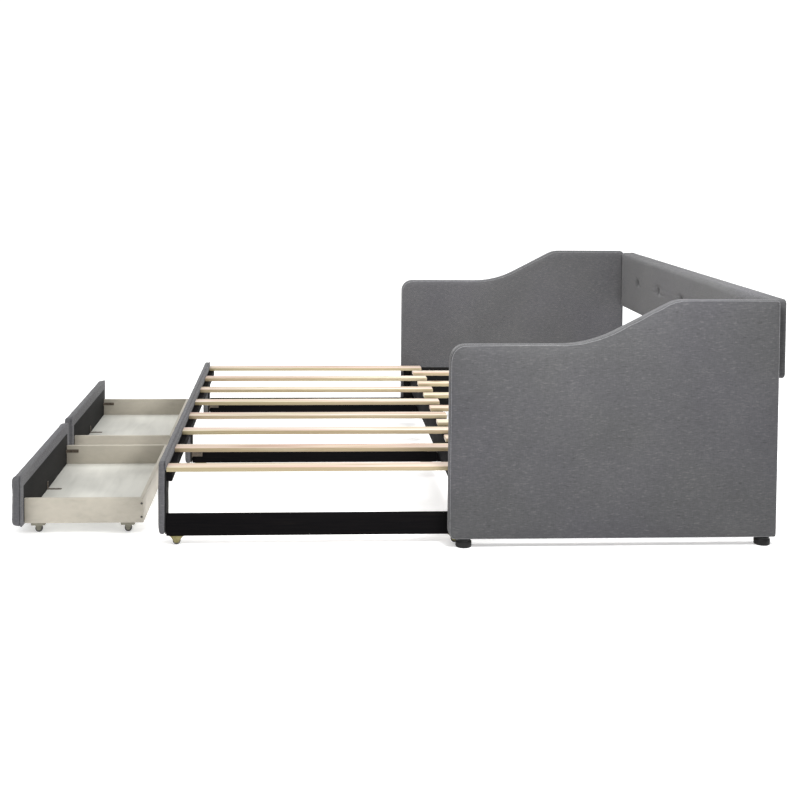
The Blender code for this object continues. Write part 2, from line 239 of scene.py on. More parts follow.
def linen(name, shade):
    """Heathered linen: plain weave, short thick threads, pale neps and a faint mottle."""
    recipe = Recipe(name, 0.9)
    threads = weave(recipe, 0.0024)
    across = recipe.noise((70.0, 70.0, 420.0), 2.0)
    upright = recipe.noise((420.0, 420.0, 70.0), 2.0)
    slub = recipe.threshold(recipe.noise((42.0, 42.0, 240.0), 1.0), 0.58, 0.72)
    nep = recipe.threshold(recipe.noise((62.0, 62.0, 240.0), 1.0), 0.64, 0.75)
    speck = recipe.threshold(recipe.noise((55.0, 55.0, 260.0), 1.0), 0.63, 0.76)
    mottle = recipe.noise((5.0, 5.0, 5.0), 3.0)
    coarse = recipe.noise((62.0, 62.0, 240.0), 2.0)
    parts = [(across, 0.50), (upright, 0.40), (coarse, 0.46), (mottle, 0.4)]
    blend = recipe.math("ADD", recipe.mixed(parts), recipe.math("MULTIPLY", threads, 0.07))
    blend = recipe.math("ADD", blend, recipe.math("MULTIPLY", slub, 0.15))
    blend = recipe.math("ADD", blend, recipe.math("MULTIPLY", nep, 0.26))
    blend = recipe.math("SUBTRACT", blend, recipe.math("MULTIPLY", speck, 0.26))
    dark = tuple(shade * tint for tint in (0.70, 0.70, 0.72))
    middle = tuple(shade * tint for tint in (0.985, 0.985, 1.02))
    light = tuple(shade * tint for tint in (1.42, 1.41, 1.41))
    colour = recipe.ramp(blend, [(0.05, dark), (0.5, middle), (0.95, light)])
    cool = recipe.threshold(recipe.noise((2.3, 2.3, 2.3), 2.0), 0.42, 0.62)
    colour = recipe.blend(cool, colour, (0.985, 0.975, 1.015), kind="MULTIPLY")
    height = recipe.math("ADD", blend, recipe.math("MULTIPLY", threads, 0.5))
    recipe.set(
        recipe.shader,
        {"Sheen Weight": 0.16, "Sheen Roughness": 0.4, "Specular IOR Level": 0.12},
    )
    return recipe.finish(colour, height, 0.4, 0.0009, (across, 0.84, 0.96))


def lining(name, shade=1.0):
    """Thin black non-woven cloth with a fine pressed dot and soft creases."""
    recipe = Recipe(name, 0.85)
    dots = weave(recipe, 0.0034)
    creases = recipe.noise((9.0, 9.0, 9.0), 4.0, 0.6)
    blend = recipe.mixed([(creases, 0.9), (recipe.noise((260.0, 260.0, 260.0)), 0.5)])
    dark = tuple(shade * part for part in (0.013, 0.013, 0.013))
    light = tuple(shade * part for part in (0.026, 0.025, 0.024))
    colour = recipe.ramp(blend, [(0.2, dark), (0.8, light)])
    height = recipe.math("ADD", blend, recipe.math("MULTIPLY", dots, 0.12))
    recipe.set(recipe.shader, {"Specular IOR Level": 0.12})
    return recipe.finish(colour, height, 0.4, 0.001, (creases, 0.78, 0.92))


def black_stain(name):
    """Board stained black, with a faint grain along its length and worn, browner patches."""
    recipe = Recipe(name, 0.6)
    grain = recipe.noise((7.0, 7.0, 220.0), 4.0, 0.4)
    wear = recipe.noise((5.0, 5.0, 12.0), 3.0)
    blend = recipe.mixed([(grain, 0.9), (wear, 0.5)])
    stops = [
        (0.25, (0.0035, 0.0035, 0.0042)),
        (0.70, (0.0062, 0.0056, 0.0058)),
        (1.00, (0.020, 0.015, 0.011)),
    ]
    colour = recipe.ramp(blend, stops)
    recipe.set(recipe.shader, {"Specular IOR Level": 0.06, "IOR": 1.2})
    return recipe.finish(colour, grain, 0.25, 0.0006, (wear, 0.5, 0.72))


def pine(name):
    """Planed pine: long grain, small knots, blushes of heartwood, and sides painted darker as shade."""
    recipe = Recipe(name, 0.6)
    rings = recipe.noise((72.0, 0.9, 120.0), 5.0, 0.7, 0.65)
    fibres = recipe.noise((700.0, 9.0, 700.0), 2.0)
    tone = recipe.noise((4.0, 1.3, 4.0), 2.0)
    blush = recipe.noise((31.0, 1.7, 31.0), 2.0)
    spots = recipe.add(
        "ShaderNodeTexVoronoi", {"Vector": recipe.stretched((9.0, 3.1, 9.0)), "Scale": 1.0}
    )
    knot = recipe.threshold(spots.outputs["Distance"], 0.11, 0.035)
    blend = recipe.mixed([(rings, 1.15), (fibres, 0.35), (tone, 0.8)])
    stops = [
        (0.20, (0.27, 0.176, 0.112)),
        (0.40, (0.43, 0.33, 0.256)),
        (0.60, (0.53, 0.43, 0.366)),
        (0.88, (0.615, 0.54, 0.50)),
    ]
    wood = recipe.ramp(blend, stops)
    warm = recipe.blend(recipe.threshold(blush, 0.45, 0.62), wood, (0.56, 0.375, 0.32), 0.65)
    sap = recipe.noise((39.0, 1.3, 39.0), 2.0)
    green = recipe.blend(recipe.threshold(sap, 0.47, 0.62), warm, (0.51, 0.49, 0.32), 0.7)
    streak = recipe.noise((46.0, 1.6, 46.0), 2.0)
    late = recipe.blend(recipe.threshold(streak, 0.56, 0.64), green, (0.31, 0.198, 0.138), 0.6)
    pale = recipe.blend(recipe.threshold(streak, 0.43, 0.35), late, (0.69, 0.615, 0.555), 0.7)
    # Painted shade: faces that look along X, the slats' sides, turn a darker tan.
    side_shade = recipe.math("MULTIPLY", recipe.facing_sideways(), 0.8)
    sides_shaded = recipe.blend(side_shade, pale, (0.290, 0.235, 0.124))
    knotted = recipe.blend(knot, sides_shaded, (0.20, 0.11, 0.05))
    return recipe.finish(knotted, rings, 0.3, 0.0006, (rings, 0.5, 0.7))


def drawer_board(name, tint):
    """Drawer board with a pale foil over plywood: nearly even, with a ghost of grain."""
    recipe = Recipe(name, 0.42)
    grain = recipe.noise((5.0, 30.0, 60.0), 4.0, 0.5)
    clouds = recipe.noise((3.4, 3.4, 3.4), 2.0)
    blend = recipe.mixed([(grain, 0.45), (clouds, 1.3)])
    levels = ((0.2, 0.76), (0.5, 1.0), (0.85, 1.18))
    stops = [(at, tuple(level * part for part in tint)) for at, level in levels]
    recipe.set(recipe.shader, {"Specular IOR Level": 0.3})
    return recipe.finish(recipe.ramp(blend, stops), grain, 0.10, 0.0004, (clouds, 0.36, 0.54))


def plated_steel(name, dark, light, metallic=1.0):
    """Pressed steel with a plating: bright, with cloudy passivation and fine scratches."""
    recipe = Recipe(name, 0.35, metallic)
    clouds = recipe.noise((60.0, 60.0, 60.0), 4.0, 0.8)
    scratches = recipe.noise((30.0, 1500.0, 900.0), 2.0)
    blend = recipe.mixed([(clouds, 1.2), (scratches, 0.3)])
    colour = recipe.ramp(blend, [(0.2, dark), (0.8, light)])
    return recipe.finish(colour, scratches, 0.12, 0.0003, (clouds, 0.28, 0.5))


def moulded_plastic(name, dark, light):
    """Moulded plastic with a fine grain and dusty, scuffed high spots."""
    recipe = Recipe(name, 0.5)
    recipe.set(recipe.shader, {"Specular IOR Level": 0.2})
    grain = recipe.noise((900.0, 900.0, 900.0), 2.0)
    dust = recipe.noise((40.0, 40.0, 40.0), 4.0)
    blend = recipe.mixed([(dust, 1.3), (grain, 0.4)])
    colour = recipe.ramp(blend, [(0.25, dark), (0.85, light)])
    return recipe.finish(colour, grain, 0.18, 0.0004, (dust, 0.38, 0.62))


def pale_floor(name):
    recipe = Recipe(name, 0.8)
    blend = recipe.mixed([(recipe.noise((2.0, 2.0, 2.0), 3.0), 0.3)])
    stops = [(0.2, (0.88, 0.88, 0.88)), (0.8, (0.90, 0.90, 0.90))]
    white = (1.0, 1.0, 1.0, 1.0)
    recipe.set(recipe.shader, {"Emission Color": white, "Emission Strength": FLOOR_GLOW})
    return recipe.finish(recipe.ramp(blend, stops))


def build_materials():
    return {
        "linen": linen("grey_linen", 0.070),
        # Same linen a shade paler on the trundle's and drawers' fronts: painted light, for the light
        # those fronts catch from above.
        "front_linen_painted_light": linen("grey_linen_fronts_painted_light", 0.104),
        # The welts' linen is the same cloth about twice as pale: real piping, with a painted highlight
        # along the pads' edges.
        "welt": linen("grey_linen_welt_painted_highlight", 0.150),
        "lining": lining("black_lining", 0.85),
        # The arms' lining is the same black cloth made darker still: painted shade, for where it lies
        # under the seat.
        "lining_painted_shade": lining("black_lining_painted_shade", 0.3),
        "black": black_stain("black_stained_board"),
        "pine": pine("planed_pine"),
        "cream": drawer_board("cream_drawer_board", (0.415, 0.385, 0.325)),
        "white": drawer_board("white_drawer_board", (0.555, 0.55, 0.505)),
        "caster": moulded_plastic("caster_plate", (0.16, 0.153, 0.118), (0.27, 0.258, 0.21)),
        "bracket": plated_steel("dull_zinc", (0.055, 0.043, 0.032), (0.13, 0.105, 0.080), 0.3),
        "brass": plated_steel("yellow_zinc_plate", (0.13, 0.115, 0.05), (0.28, 0.25, 0.13)),
        "foot": moulded_plastic("black_foot_plastic", (0.004, 0.004, 0.0045), (0.014, 0.0135, 0.013)),
        "wheel": moulded_plastic("grey_wheel_plastic", (0.07, 0.07, 0.07), (0.15, 0.15, 0.145)),
        "screw": plated_steel("dark_screw", (0.05, 0.05, 0.05), (0.14, 0.13, 0.12)),
        "floor": pale_floor("pale_floor"),
    }


# ---------------------------------------------------------------- mesh helpers


def skinned(bm, rings, closed_ends=True):
    """Skin through rings of equal length, capped at both ends."""
    loops = [[bm.verts.new(point) for point in ring] for ring in rings]
    for lower, upper in zip(loops, loops[1:]):
        for index in range(len(lower)):
            after = (index + 1) % len(lower)
            bm.faces.new((lower[index], lower[after], upper[after], upper[index]))
    if closed_ends:
        bm.faces.new(list(reversed(loops[0])))
        bm.faces.new(loops[-1])
    return loops


def skinned_round(bm, rings):
    """Skin through rings, and from the last back to the first."""
    loops = skinned(bm, rings, closed_ends=False)
    for index in range(len(loops[0])):
        after = (index + 1) % len(loops[0])
        bm.faces.new((loops[-1][index], loops[-1][after], loops[0][after], loops[0][index]))


def make_piece(name, bm, material, smooth_angle=35.0):
    """Object of the bmesh, with sharp edges only where faces turn by more than the angle."""
    bmesh.ops.recalc_face_normals(bm, faces=bm.faces)
    mesh = bpy.data.meshes.new(name)
    bm.to_mesh(mesh)
    bm.free()
    mesh.materials.append(MATERIALS[material])
    mesh.shade_smooth()
    mesh.set_sharp_from_angle(angle=math.radians(smooth_angle))
    piece = bpy.data.objects.new(name, mesh)
    bpy.context.scene.collection.objects.link(piece)
    return piece


def settle(piece, body, nodes=()):
    """Let the piece ride on its body, and stand for the CAD nodes that it shows."""
    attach(piece, body)
    if nodes:
        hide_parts(*nodes)
    return piece


def rounded_outline(corners, inset=0.0, steps=None):
    """Points round an anticlockwise outline of (x, y, radius), moved inwards by inset."""
    points = []
    for index, (x, y, radius) in enumerate(corners):
        before = Vector(corners[index - 1][:2])
        after = Vector(corners[(index + 1) % len(corners)][:2])
        here = Vector((x, y))
        arriving = (here - before).normalized()
        leaving = (after - here).normalized()
        turn = math.atan2(arriving.cross(leaving), arriving.dot(leaving))
        inward = Vector((-arriving.y, arriving.x))
        inward_after = Vector((-leaving.y, leaving.x))
        corner = here + inset * (inward + inward_after) / (1 + inward.dot(inward_after))
        side = math.copysign(1.0, turn)
        arc_radius = max(radius - side * inset, 0.0004)
        start = corner - arriving * arc_radius * math.tan(abs(turn) / 2)
        centre = start + inward * side * arc_radius
        count = steps or (14 if radius > 0.06 else 8 if radius > 0.015 else 4)
        for step in range(count + 1):
            points.append(centre + Matrix.Rotation(turn * step / count, 2) @ (start - centre))
    return points


def mirrored(corners):
    return [(-x, y, radius) for x, y, radius in reversed(corners)]


def box_corners(low, high, radius):
    """Outline of a rectangle with rounded corners."""
    return [
        (low[0], low[1], radius),
        (high[0], low[1], radius),
        (high[0], high[1], radius),
        (low[0], high[1], radius),
    ]


def slab_rings(corners, low, high, place, edges, inset=0.0, steps=4):
    """Rings of a slab between two depths, rounded over by the first and second of edges."""
    edge_low, edge_high = edges
    stations = []
    for step in range(steps + 1):
        angle = math.pi / 2 * step / steps
        stations.append((edge_low - edge_low * math.sin(angle), low + edge_low * (1 - math.cos(angle))))
    for step in range(steps + 1):
        angle = math.pi / 2 * step / steps
        stations.append((edge_high * (1 - math.cos(angle)), high - edge_high * (1 - math.sin(angle))))
    rings = []
    for shrink, depth in stations:
        outline = rounded_outline(corners, inset + shrink)
        rings.append([place(point.x, point.y, depth) for point in outline])
    return rings


def slab(name, material, corners, low, high, place, edges, inset=0.0, steps=4):
    """Piece that is one slab, its outline moved inwards by inset."""
    bm = bmesh.new()
    skinned(bm, slab_rings(corners, low, high, place, edges, inset, steps))
    return make_piece(name, bm, material)


def along_x(side):
    """Place an outline drawn in Y and Z so that its depth runs out along X on that side."""
    return lambda u, v, depth: Vector((side * depth, u, v))


def along_front(u, v, depth):
    """Place an outline drawn in X and Z so that its depth runs along Y."""
    return Vector((u, depth, v))


def lifted(u, v, depth):
    """Place an outline drawn in X and Y so that its depth runs up Z."""
    return Vector((u, v, depth))


def bar(name, low, high, material, radius, wobble=0.0):
    """Board with rounded arrises, running along its longest side, and very slightly uneven."""
    size = [high[k] - low[k] for k in range(3)]
    run = max(range(3), key=lambda k: size[k])
    first, second = (k for k in range(3) if k != run)
    corners = box_corners((low[first], low[second]), (high[first], high[second]), radius)
    count = max(2, round(size[run] / BAR_RING_SPACING))
    stations = [(radius, 0.0), (radius * 0.3, radius * 0.3), (0.0, radius)]
    middle = [(0.0, radius + (size[run] - 2 * radius) * k / count) for k in range(1, count)]
    tail = [(shrink, size[run] - along) for shrink, along in reversed(stations)]
    bm = bmesh.new()
    rings = []
    for shrink, along in stations + middle + tail:
        ring = []
        seed = Vector((low[first] * 7.0, low[second] * 7.0 + along * 2.2, low[run] * 3.0))
        sway = wobble * noise.noise(seed)
        lift = wobble * noise.noise(seed + Vector((0.0, 0.0, 31.0)))
        for point in rounded_outline(corners, shrink, 3):
            spot = Vector((0.0, 0.0, 0.0))
            spot[first] = point.x + sway
            spot[second] = point.y + lift
            spot[run] = low[run] + along
            ring.append(spot)
        rings.append(ring)
    skinned(bm, rings)
    return make_piece(name, bm, material)


def board_for(node, material, body, radius, wobble=0.0):
    """Finer board in place of a CAD node, inside the same box."""
    low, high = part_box(node)
    piece = bar(node + "_wood", low, high, material, radius, wobble)
    return settle(piece, body, [node])


def turned_rings(profile, axis, centre, segments, way=1):
    """Rings about an axis through centre, from (radius, along) pairs."""
    rings = []
    for radius, along in profile:
        ring = []
        for step in range(segments):
            angle = math.tau * step / segments
            spot = Vector(centre)
            spot[axis] += way * along
            spot[(axis + 1) % 3] += radius * math.cos(angle)
            spot[(axis + 2) % 3] += radius * math.sin(angle)
            ring.append(spot)
        rings.append(ring)
    return rings


def turn(bm, profile, axis, centre, segments, way=1):
    """Add a solid turned about an axis through centre."""
    skinned(bm, turned_rings(profile, axis, centre, segments, way))
    return bm


def add_screw(bm, place, axis, way, radius):
    """Domed screw head with a shallow dish in its middle, facing along way."""
    profile = [
        (radius, 0.0),
        (radius * 0.96, 0.0006),
        (radius * 0.72, 0.0013),
        (radius * 0.42, 0.0016),
        (radius * 0.30, 0.0009),
        (0.0004, 0.0006),
    ]
    turn(bm, profile, axis, place, 18, way)


# ---------------------------------------------------------------- padding


def baked(piece):
    """Replace the piece's mesh by what its modifiers make of it."""
    evaluated = piece.evaluated_get(bpy.context.evaluated_depsgraph_get())
    mesh = bpy.data.meshes.new_from_object(evaluated)
    piece.modifiers.clear()
    piece.data = mesh


def pad(piece, voxel, cap, held, before=None, subdivide=True):
    """Queue a padded piece for the cloth simulation.

    voxel is its mesh's grid, cap is how far a point may move, held says which points stay put, and
    before shapes the points first.
    """
    PADS.append((piece, voxel, cap, held, before, subdivide))


def start_cloth(piece, voxel, held, before):
    """Remesh and shape the piece, and give it a cloth that pressure blows up."""
    remesh = piece.modifiers.new("remesh", "REMESH")
    remesh.mode = "VOXEL"
    remesh.voxel_size = voxel
    remesh.use_smooth_shade = True
    baked(piece)
    mesh = piece.data
    if before:
        for vertex in mesh.vertices:
            vertex.co = before(vertex.co)
    rest = [vertex.co.copy() for vertex in mesh.vertices]
    group = piece.vertex_groups.new(name="held")
    group.add([k for k, co in enumerate(rest) if held(co)], 1.0, "REPLACE")
    cloth = piece.modifiers.new("cloth", "CLOTH")
    cloth.settings.quality = 4
    cloth.settings.mass = 0.25
    cloth.settings.tension_stiffness = 18.0
    cloth.settings.compression_stiffness = 10.0
    cloth.settings.bending_stiffness = 0.4
    cloth.settings.vertex_group_mass = "held"
    cloth.settings.use_pressure = True
    cloth.settings.uniform_pressure_force = PAD_PRESSURE
    cloth.settings.effector_weights.gravity = 0.0
    cloth.point_cache.frame_start = 1
    cloth.point_cache.frame_end = CLOTH_FRAMES
    return rest


def end_cloth(piece, rest, cap):
    """Apply the cloth, with no point further than cap from where it began."""
    baked(piece)
    for vertex, start in zip(piece.data.vertices, rest):
        move = vertex.co - start
        length = move.length
        if length > 1e-7:
            vertex.co = start + move * (cap * math.tanh(length / cap) / length)
    piece.vertex_groups.clear()


def inflate_pads():
    """Simulate every queued pad together, then keep the result."""
    rests = [start_cloth(piece, voxel, held, before) for piece, voxel, _, held, before, _ in PADS]
    for moment in range(1, CLOTH_FRAMES + 1):
        bpy.context.scene.frame_set(moment)
    for (piece, _, cap, _, _, subdivide), rest in zip(PADS, rests):
        end_cloth(piece, rest, cap)
        piece.data.shade_smooth()
        if subdivide:
            levels = piece.modifiers.new("subdivision", "SUBSURF")
            levels.levels = 1
            levels.render_levels = 1
    bpy.context.scene.frame_set(1)


def pucker(amount, size):
    """Movement that wrinkles a point very slightly, by smooth noise."""
    def move(co):
        wave = noise.noise_vector(co * size) + noise.noise_vector(co * size * 2.3) * 0.4
        return co + wave * amount
    return move


# ---------------------------------------------------------------- daybed


def arm_outline():
    """Side view of an arm in Y and Z: low in front, waving up to the back."""
    low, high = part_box("right_arm_cover")
    front = low.y
    return [
        (front, low.z, 0.021),
        (high.y, low.z, 0.006),
        (high.y, high.z, 0.010),
        (front + ARM_WAVE_HIGH_X, high.z, 0.110),
        (front + ARM_WAVE_LOW_X, high.z - ARM_LOW_DROP, 0.400),
        (front, high.z - ARM_LOW_DROP, 0.050),
    ]


def build_arm(name, side):
    corners = arm_outline()
    low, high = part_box(name + "_cover")
    inner, outer = sorted((abs(low.x), abs(high.x)))
    back_of_pad = inner + 0.0016
    face = outer - PAD_ROOM

    def shoulder(co):
        """Round the top edge over towards the inner side."""
        past = min(max(inner + SHOULDER - abs(co.x), 0.0), SHOULDER)
        drop = SHOULDER - math.sqrt(SHOULDER ** 2 - past ** 2)
        return Vector((co.x, co.y, co.z - drop * (co.z / high.z) ** 3))

    def held(co):
        return abs(co.x) < outer - 0.0055

    shape = (corners, back_of_pad, face, along_x(side))
    piece = slab(name + "_upholstery", "linen", *shape, edges=(0.003, 0.007), inset=0.0006)
    settle(piece, "daybed", [name + "_cover", name + "_board"])
    pad(piece, voxel=0.0065, cap=0.0035, held=held, before=shoulder, subdivide=False)
    build_arm_lining(name, side, inner, corners)
    return piece


def build_arm_lining(name, side, inner, corners):
    """Black cloth stapled over the lower part of the arm's inner face."""
    front = corners[0][0] + 0.012
    back = corners[1][0] - 0.012
    edge = box_corners((front, corners[0][1] + 0.010), (back, LINING_TOP), 0.010)
    low = inner + FIT
    shape = (edge, low, low + LINING_THICKNESS, along_x(side))
    # Darker copy of the lining: painted shade below the seat.
    piece = slab(name + "_lining", "lining_painted_shade", *shape, edges=(0.0003, 0.0003), steps=2)
    settle(piece, "daybed")


def surface_of(piece):
    """Search tree over the piece as it is shown."""
    graph = bpy.context.evaluated_depsgraph_get()
    return BVHTree.FromObject(piece.evaluated_get(graph), graph)


def split(points, spacing):
    """Closed outline with its long stretches divided."""
    fine = []
    for index, point in enumerate(points):
        after = points[(index + 1) % len(points)]
        pieces = max(1, round((after - point).length / spacing))
        fine += [point.lerp(after, step / pieces) for step in range(pieces)]
    return fine


def add_welt(name, tree, corners, place, depth, axis, body):
    """Piped seam round a pad: it sits where the pad's rounded edge comes nearest to the corner. Its
    paler linen is a painted highlight along that edge.
    """
    path = []
    for point in split(rounded_outline(corners), 0.012):
        nearest = tree.find_nearest(place(point.x, point.y, depth))[0]
        path.append(nearest)
    smooth = [(path[k - 1] + path[k] * 2 + path[(k + 1) % len(path)]) / 4 for k in range(len(path))]
    bm = bmesh.new()
    rings = []
    for index, here in enumerate(smooth):
        along = (smooth[(index + 1) % len(smooth)] - smooth[index - 1]).normalized()
        across = along.cross(axis).normalized()
        rise = across.cross(along).normalized()
        thick = WELT_RADIUS * (1 + 0.10 * noise.noise(here * 60.0))
        ring = []
        for step in range(8):
            angle = math.tau * step / 8
            ring.append(here + across * thick * math.cos(angle) + rise * thick * math.sin(angle))
        rings.append(ring)
    skinned_round(bm, rings)
    settle(make_piece(name, bm, "welt", 180.0), body)


def build_arm_welts(arms):
    for name, side in (("left_arm", -1), ("right_arm", 1)):
        low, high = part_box(name + "_cover")
        inner, outer = sorted((abs(low.x), abs(high.x)))
        tree = surface_of(arms[name])
        for label, depth in (("inner", inner), ("outer", outer)):
            seam = f"{name}_{label}_welt"
            add_welt(seam, tree, arm_outline(), along_x(side), depth, SIDEWAYS, "daybed")


def button_places():
    """Where the back panel's tufts are."""
    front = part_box("back_cover")[0].y
    middle = (BUTTON_COUNT - 1) / 2
    return [Vector(((k - middle) * BUTTON_PITCH, front, BUTTON_HEIGHT)) for k in range(BUTTON_COUNT)]


def build_back():
    low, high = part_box("back_cover")
    corners = box_corners((low.x, low.z), (high.x, high.z), 0.014)
    back = high.y - 0.0015
    start = low.y + PAD_ROOM
    shape = (corners, start, back, along_front)
    piece = slab("back_upholstery", "linen", *shape, edges=(0.014, 0.003), inset=0.0008)
    settle(piece, "daybed", ["back_cover", "back_board"])
    tufts = button_places()

    def near_tuft(co):
        return min(math.hypot(co.x - t.x, co.z - t.z) for t in tufts)

    def dimple(co):
        if co.y > start + 0.012:
            return co
        away = near_tuft(co)
        return Vector((co.x, co.y + TUFT_DEPTH * math.exp(-((away / 0.013) ** 2)), co.z))

    def held(co):
        return co.y > back - 0.003 or (co.y < start + 0.020 and near_tuft(co) < 0.010)

    pad(piece, voxel=0.0062, cap=0.0018, held=held, before=dimple)
    for number, tuft in enumerate(tufts, 1):
        seat = start + TUFT_DEPTH
        profile = [
            (0.006, 0.004),
            (BUTTON_RADIUS, 0.001),
            (BUTTON_RADIUS, -0.0015),
            (BUTTON_RADIUS * 0.86, -0.0042),
            (BUTTON_RADIUS * 0.5, -0.0062),
            (0.0008, -0.0068),
        ]
        bm = turn(bmesh.new(), profile, 1, (tuft.x, seat, tuft.z), 32)
        settle(make_piece(f"back_button_{number}", bm, "linen", 60.0), "daybed")


def build_foot(node):
    low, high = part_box(node)
    radius = (high.x - low.x) / 2
    tall = high.z - low.z
    profile = [
        (radius - 0.004, 0.0),
        (radius - 0.0015, 0.0008),
        (radius, 0.003),
        (radius, tall - 0.009),
        (radius - 0.001, tall - 0.0075),
        (radius - 0.003, tall - 0.007),
        (radius - 0.003, tall),
    ]
    centre = ((low.x + high.x) / 2, (low.y + high.y) / 2, low.z)
    piece = make_piece(node + "_glide", turn(bmesh.new(), profile, 2, centre, 56), "foot")
    settle(piece, "daybed", [node])


def build_daybed():
    arms = {name: build_arm(name, side) for name, side in (("left_arm", -1), ("right_arm", 1))}
    build_back()
    for name in arms:
        for end in ("front", "rear"):
            build_foot(f"{name}_{end}_foot")
    for node in ("daybed_front_rail", "daybed_rear_rail"):
        board_for(node, "black", "daybed", BOARD_ARRIS)
    for number in range(1, 8):
        board_for(f"daybed_slat_{number}", "pine", "daybed", SLAT_ARRIS, SLAT_WOBBLE)
    return arms


# ---------------------------------------------------------------- casters and brackets


def v_cheek(bm, x_low, x_high, y, top, half):
    """Pressed cheek of a caster's fork: a V with a round tip about the axle."""
    tip = 0.0058
    corners = [
        (y - tip, AXLE_HEIGHT - tip, 0.0052),
        (y + tip, AXLE_HEIGHT - tip, 0.0052),
        (y + half, top, 0.0012),
        (y - half, top, 0.0012),
    ]
    skinned(bm, slab_rings(corners, x_low, x_high, along_x(1), (0.0004, 0.0004), steps=2))


def build_caster(prefix, x, y, top, metal, body, half, rim):
    """Fixed caster: screwed plate, two V-shaped cheeks on an axle, and a grooved wheel.

    half is the cheeks' reach along Y at the top, and rim is the plate's thickness.
    """
    sheet = 0.0014
    bm = bmesh.new()
    for side in (-1, 1):
        near, far = sorted((side * 0.0068, side * 0.0084))
        v_cheek(bm, x + near, x + far, y, top - sheet * 0.5, half)
    end = 0.0093
    pin = [(0.0016, -end), (0.0034, -end + 0.0006), (0.0034, -end + 0.0011), (0.0024, -end + 0.0012)]
    pin += [(radius, -along) for radius, along in reversed(pin)]
    turn(bm, pin, 0, (x, y, AXLE_HEIGHT), 18)
    settle(make_piece(prefix + "_fork", bm, metal), body)
    bm = bmesh.new()
    plate_half = max(half, 0.023)
    reach = 0.0105 if metal == "brass" else 0.023
    corners = box_corners((x - reach, y - plate_half), (x + reach, y + plate_half), 0.004)
    edges = (0.0009, 0.0003)
    skinned(bm, slab_rings(corners, top - rim, top - 0.0001, lifted, edges, steps=2))
    for way in (-1, 1):
        add_screw(bm, (x, y + way * (plate_half - 0.0045), top - rim), 2, -1, 0.0032)
    settle(make_piece(prefix + "_plate", bm, metal), body)
    build_wheel(prefix + "_wheel", (x, y, AXLE_HEIGHT))


def build_wheel(node, centre):
    """Wheel with a rounded tread, a recessed web and a hub."""
    low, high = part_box(node)
    radius = (high.z - low.z) / 2
    half = (high.x - low.x) / 2
    profile = [
        (0.0029, -half),
        (0.0058, -half),
        (0.0062, -half + 0.0016),
        (0.0088, -half + 0.0018),
        (0.0094, -half + 0.0002),
        (radius - 0.0014, -half + 0.0003),
        (radius - 0.0003, -half + 0.0014),
        (radius, -half + 0.0030),
    ]
    profile += [(r, -along) for r, along in reversed(profile)]
    bm = bmesh.new()
    skinned_round(bm, turned_rings(profile, 0, centre, 36))
    settle(make_piece(node + "_turned", bm, "wheel"), node, [node])


def build_bracket(name, corner, first, second, width_way, legs, width, body):
    """Folded angle bracket: two legs from a corner, each with two screws.

    first and second are the unit directions of the legs, and width_way is along the fold.
    """
    thick = 0.0016
    corner = Vector(corner)
    profile = [
        (0.0, 0.0),
        (legs[0], 0.0),
        (legs[0], thick),
        (thick * 2.2, thick),
        (thick * 1.3, thick * 1.3),
        (thick, thick * 2.2),
        (thick, legs[1]),
        (0.0, legs[1]),
    ]
    bm = bmesh.new()
    half = width / 2
    stations = [(-half, 0.0003), (-half + 0.0003, 0.0), (half - 0.0003, 0.0), (half, 0.0003)]
    rings = []
    for along, shrink in stations:
        ring = []
        for a, b in profile:
            out = first * max(a - shrink, 0.0) + second * max(b - shrink, 0.0)
            ring.append(corner + out + width_way * along)
        rings.append(ring)
    skinned(bm, rings)
    for way, across, leg in ((first, second, legs[0]), (second, first, legs[1])):
        axis = max(range(3), key=lambda k: abs(across[k]))
        for share in (0.45, 0.80):
            place = corner + way * leg * share + across * thick
            add_screw(bm, place, axis, math.copysign(1.0, across[axis]), 0.0036)
    settle(make_piece(name, bm, "bracket"), body)


# ---------------------------------------------------------------- trundle


def front_outline(top=None):
    """Front frame in X and Z: a top rail over three legs, with a drawer bay between each two."""
    low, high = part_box("trundle_front_cover")
    bay_inner = MIDDLE_STILE / 2
    bay_outer = high.x - END_STILE
    top = top or high.z
    right_half = [
        (bay_inner, low.z, 0.006),
        (bay_inner, BAY_TOP, 0.004),
        (bay_outer, BAY_TOP, 0.004),
        (bay_outer, low.z, 0.006),
        (high.x, low.z, 0.010),
        (high.x, top, 0.016),
    ]
    return right_half + mirrored(right_half)


def build_trundle_front():
    low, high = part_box("trundle_front_cover")
    back = low.y + PAD_DEPTH_TRUNDLE
    shape = (front_outline(), low.y + PAD_ROOM, back, along_front)
    name = "trundle_front_upholstery"
    # The front's pad and wrap take the paler linen: painted light.
    piece = slab(name, "front_linen_painted_light", *shape, edges=(0.007, 0.0025), inset=0.002)
    settle(piece, "trundle", ["trundle_front_cover", "trundle_front_board"])
    loose = pucker(0.0009, 26.0)
    pad(piece, voxel=0.0055, cap=0.0035, held=lambda co: co.y > back - 0.0025, before=loose)
    lining_top = LINING_TOP - 0.003
    wrap = box_corners((low.x, lining_top), (high.x, high.z), 0.012)
    shape = (wrap, back + 0.0002, high.y - 0.0004, along_front)
    piece = slab("trundle_front_wrap", "front_linen_painted_light", *shape, edges=(0.0025, 0.004), inset=0.001)
    settle(piece, "trundle")
    build_trundle_backing(front_outline(lining_top), back, high.y)


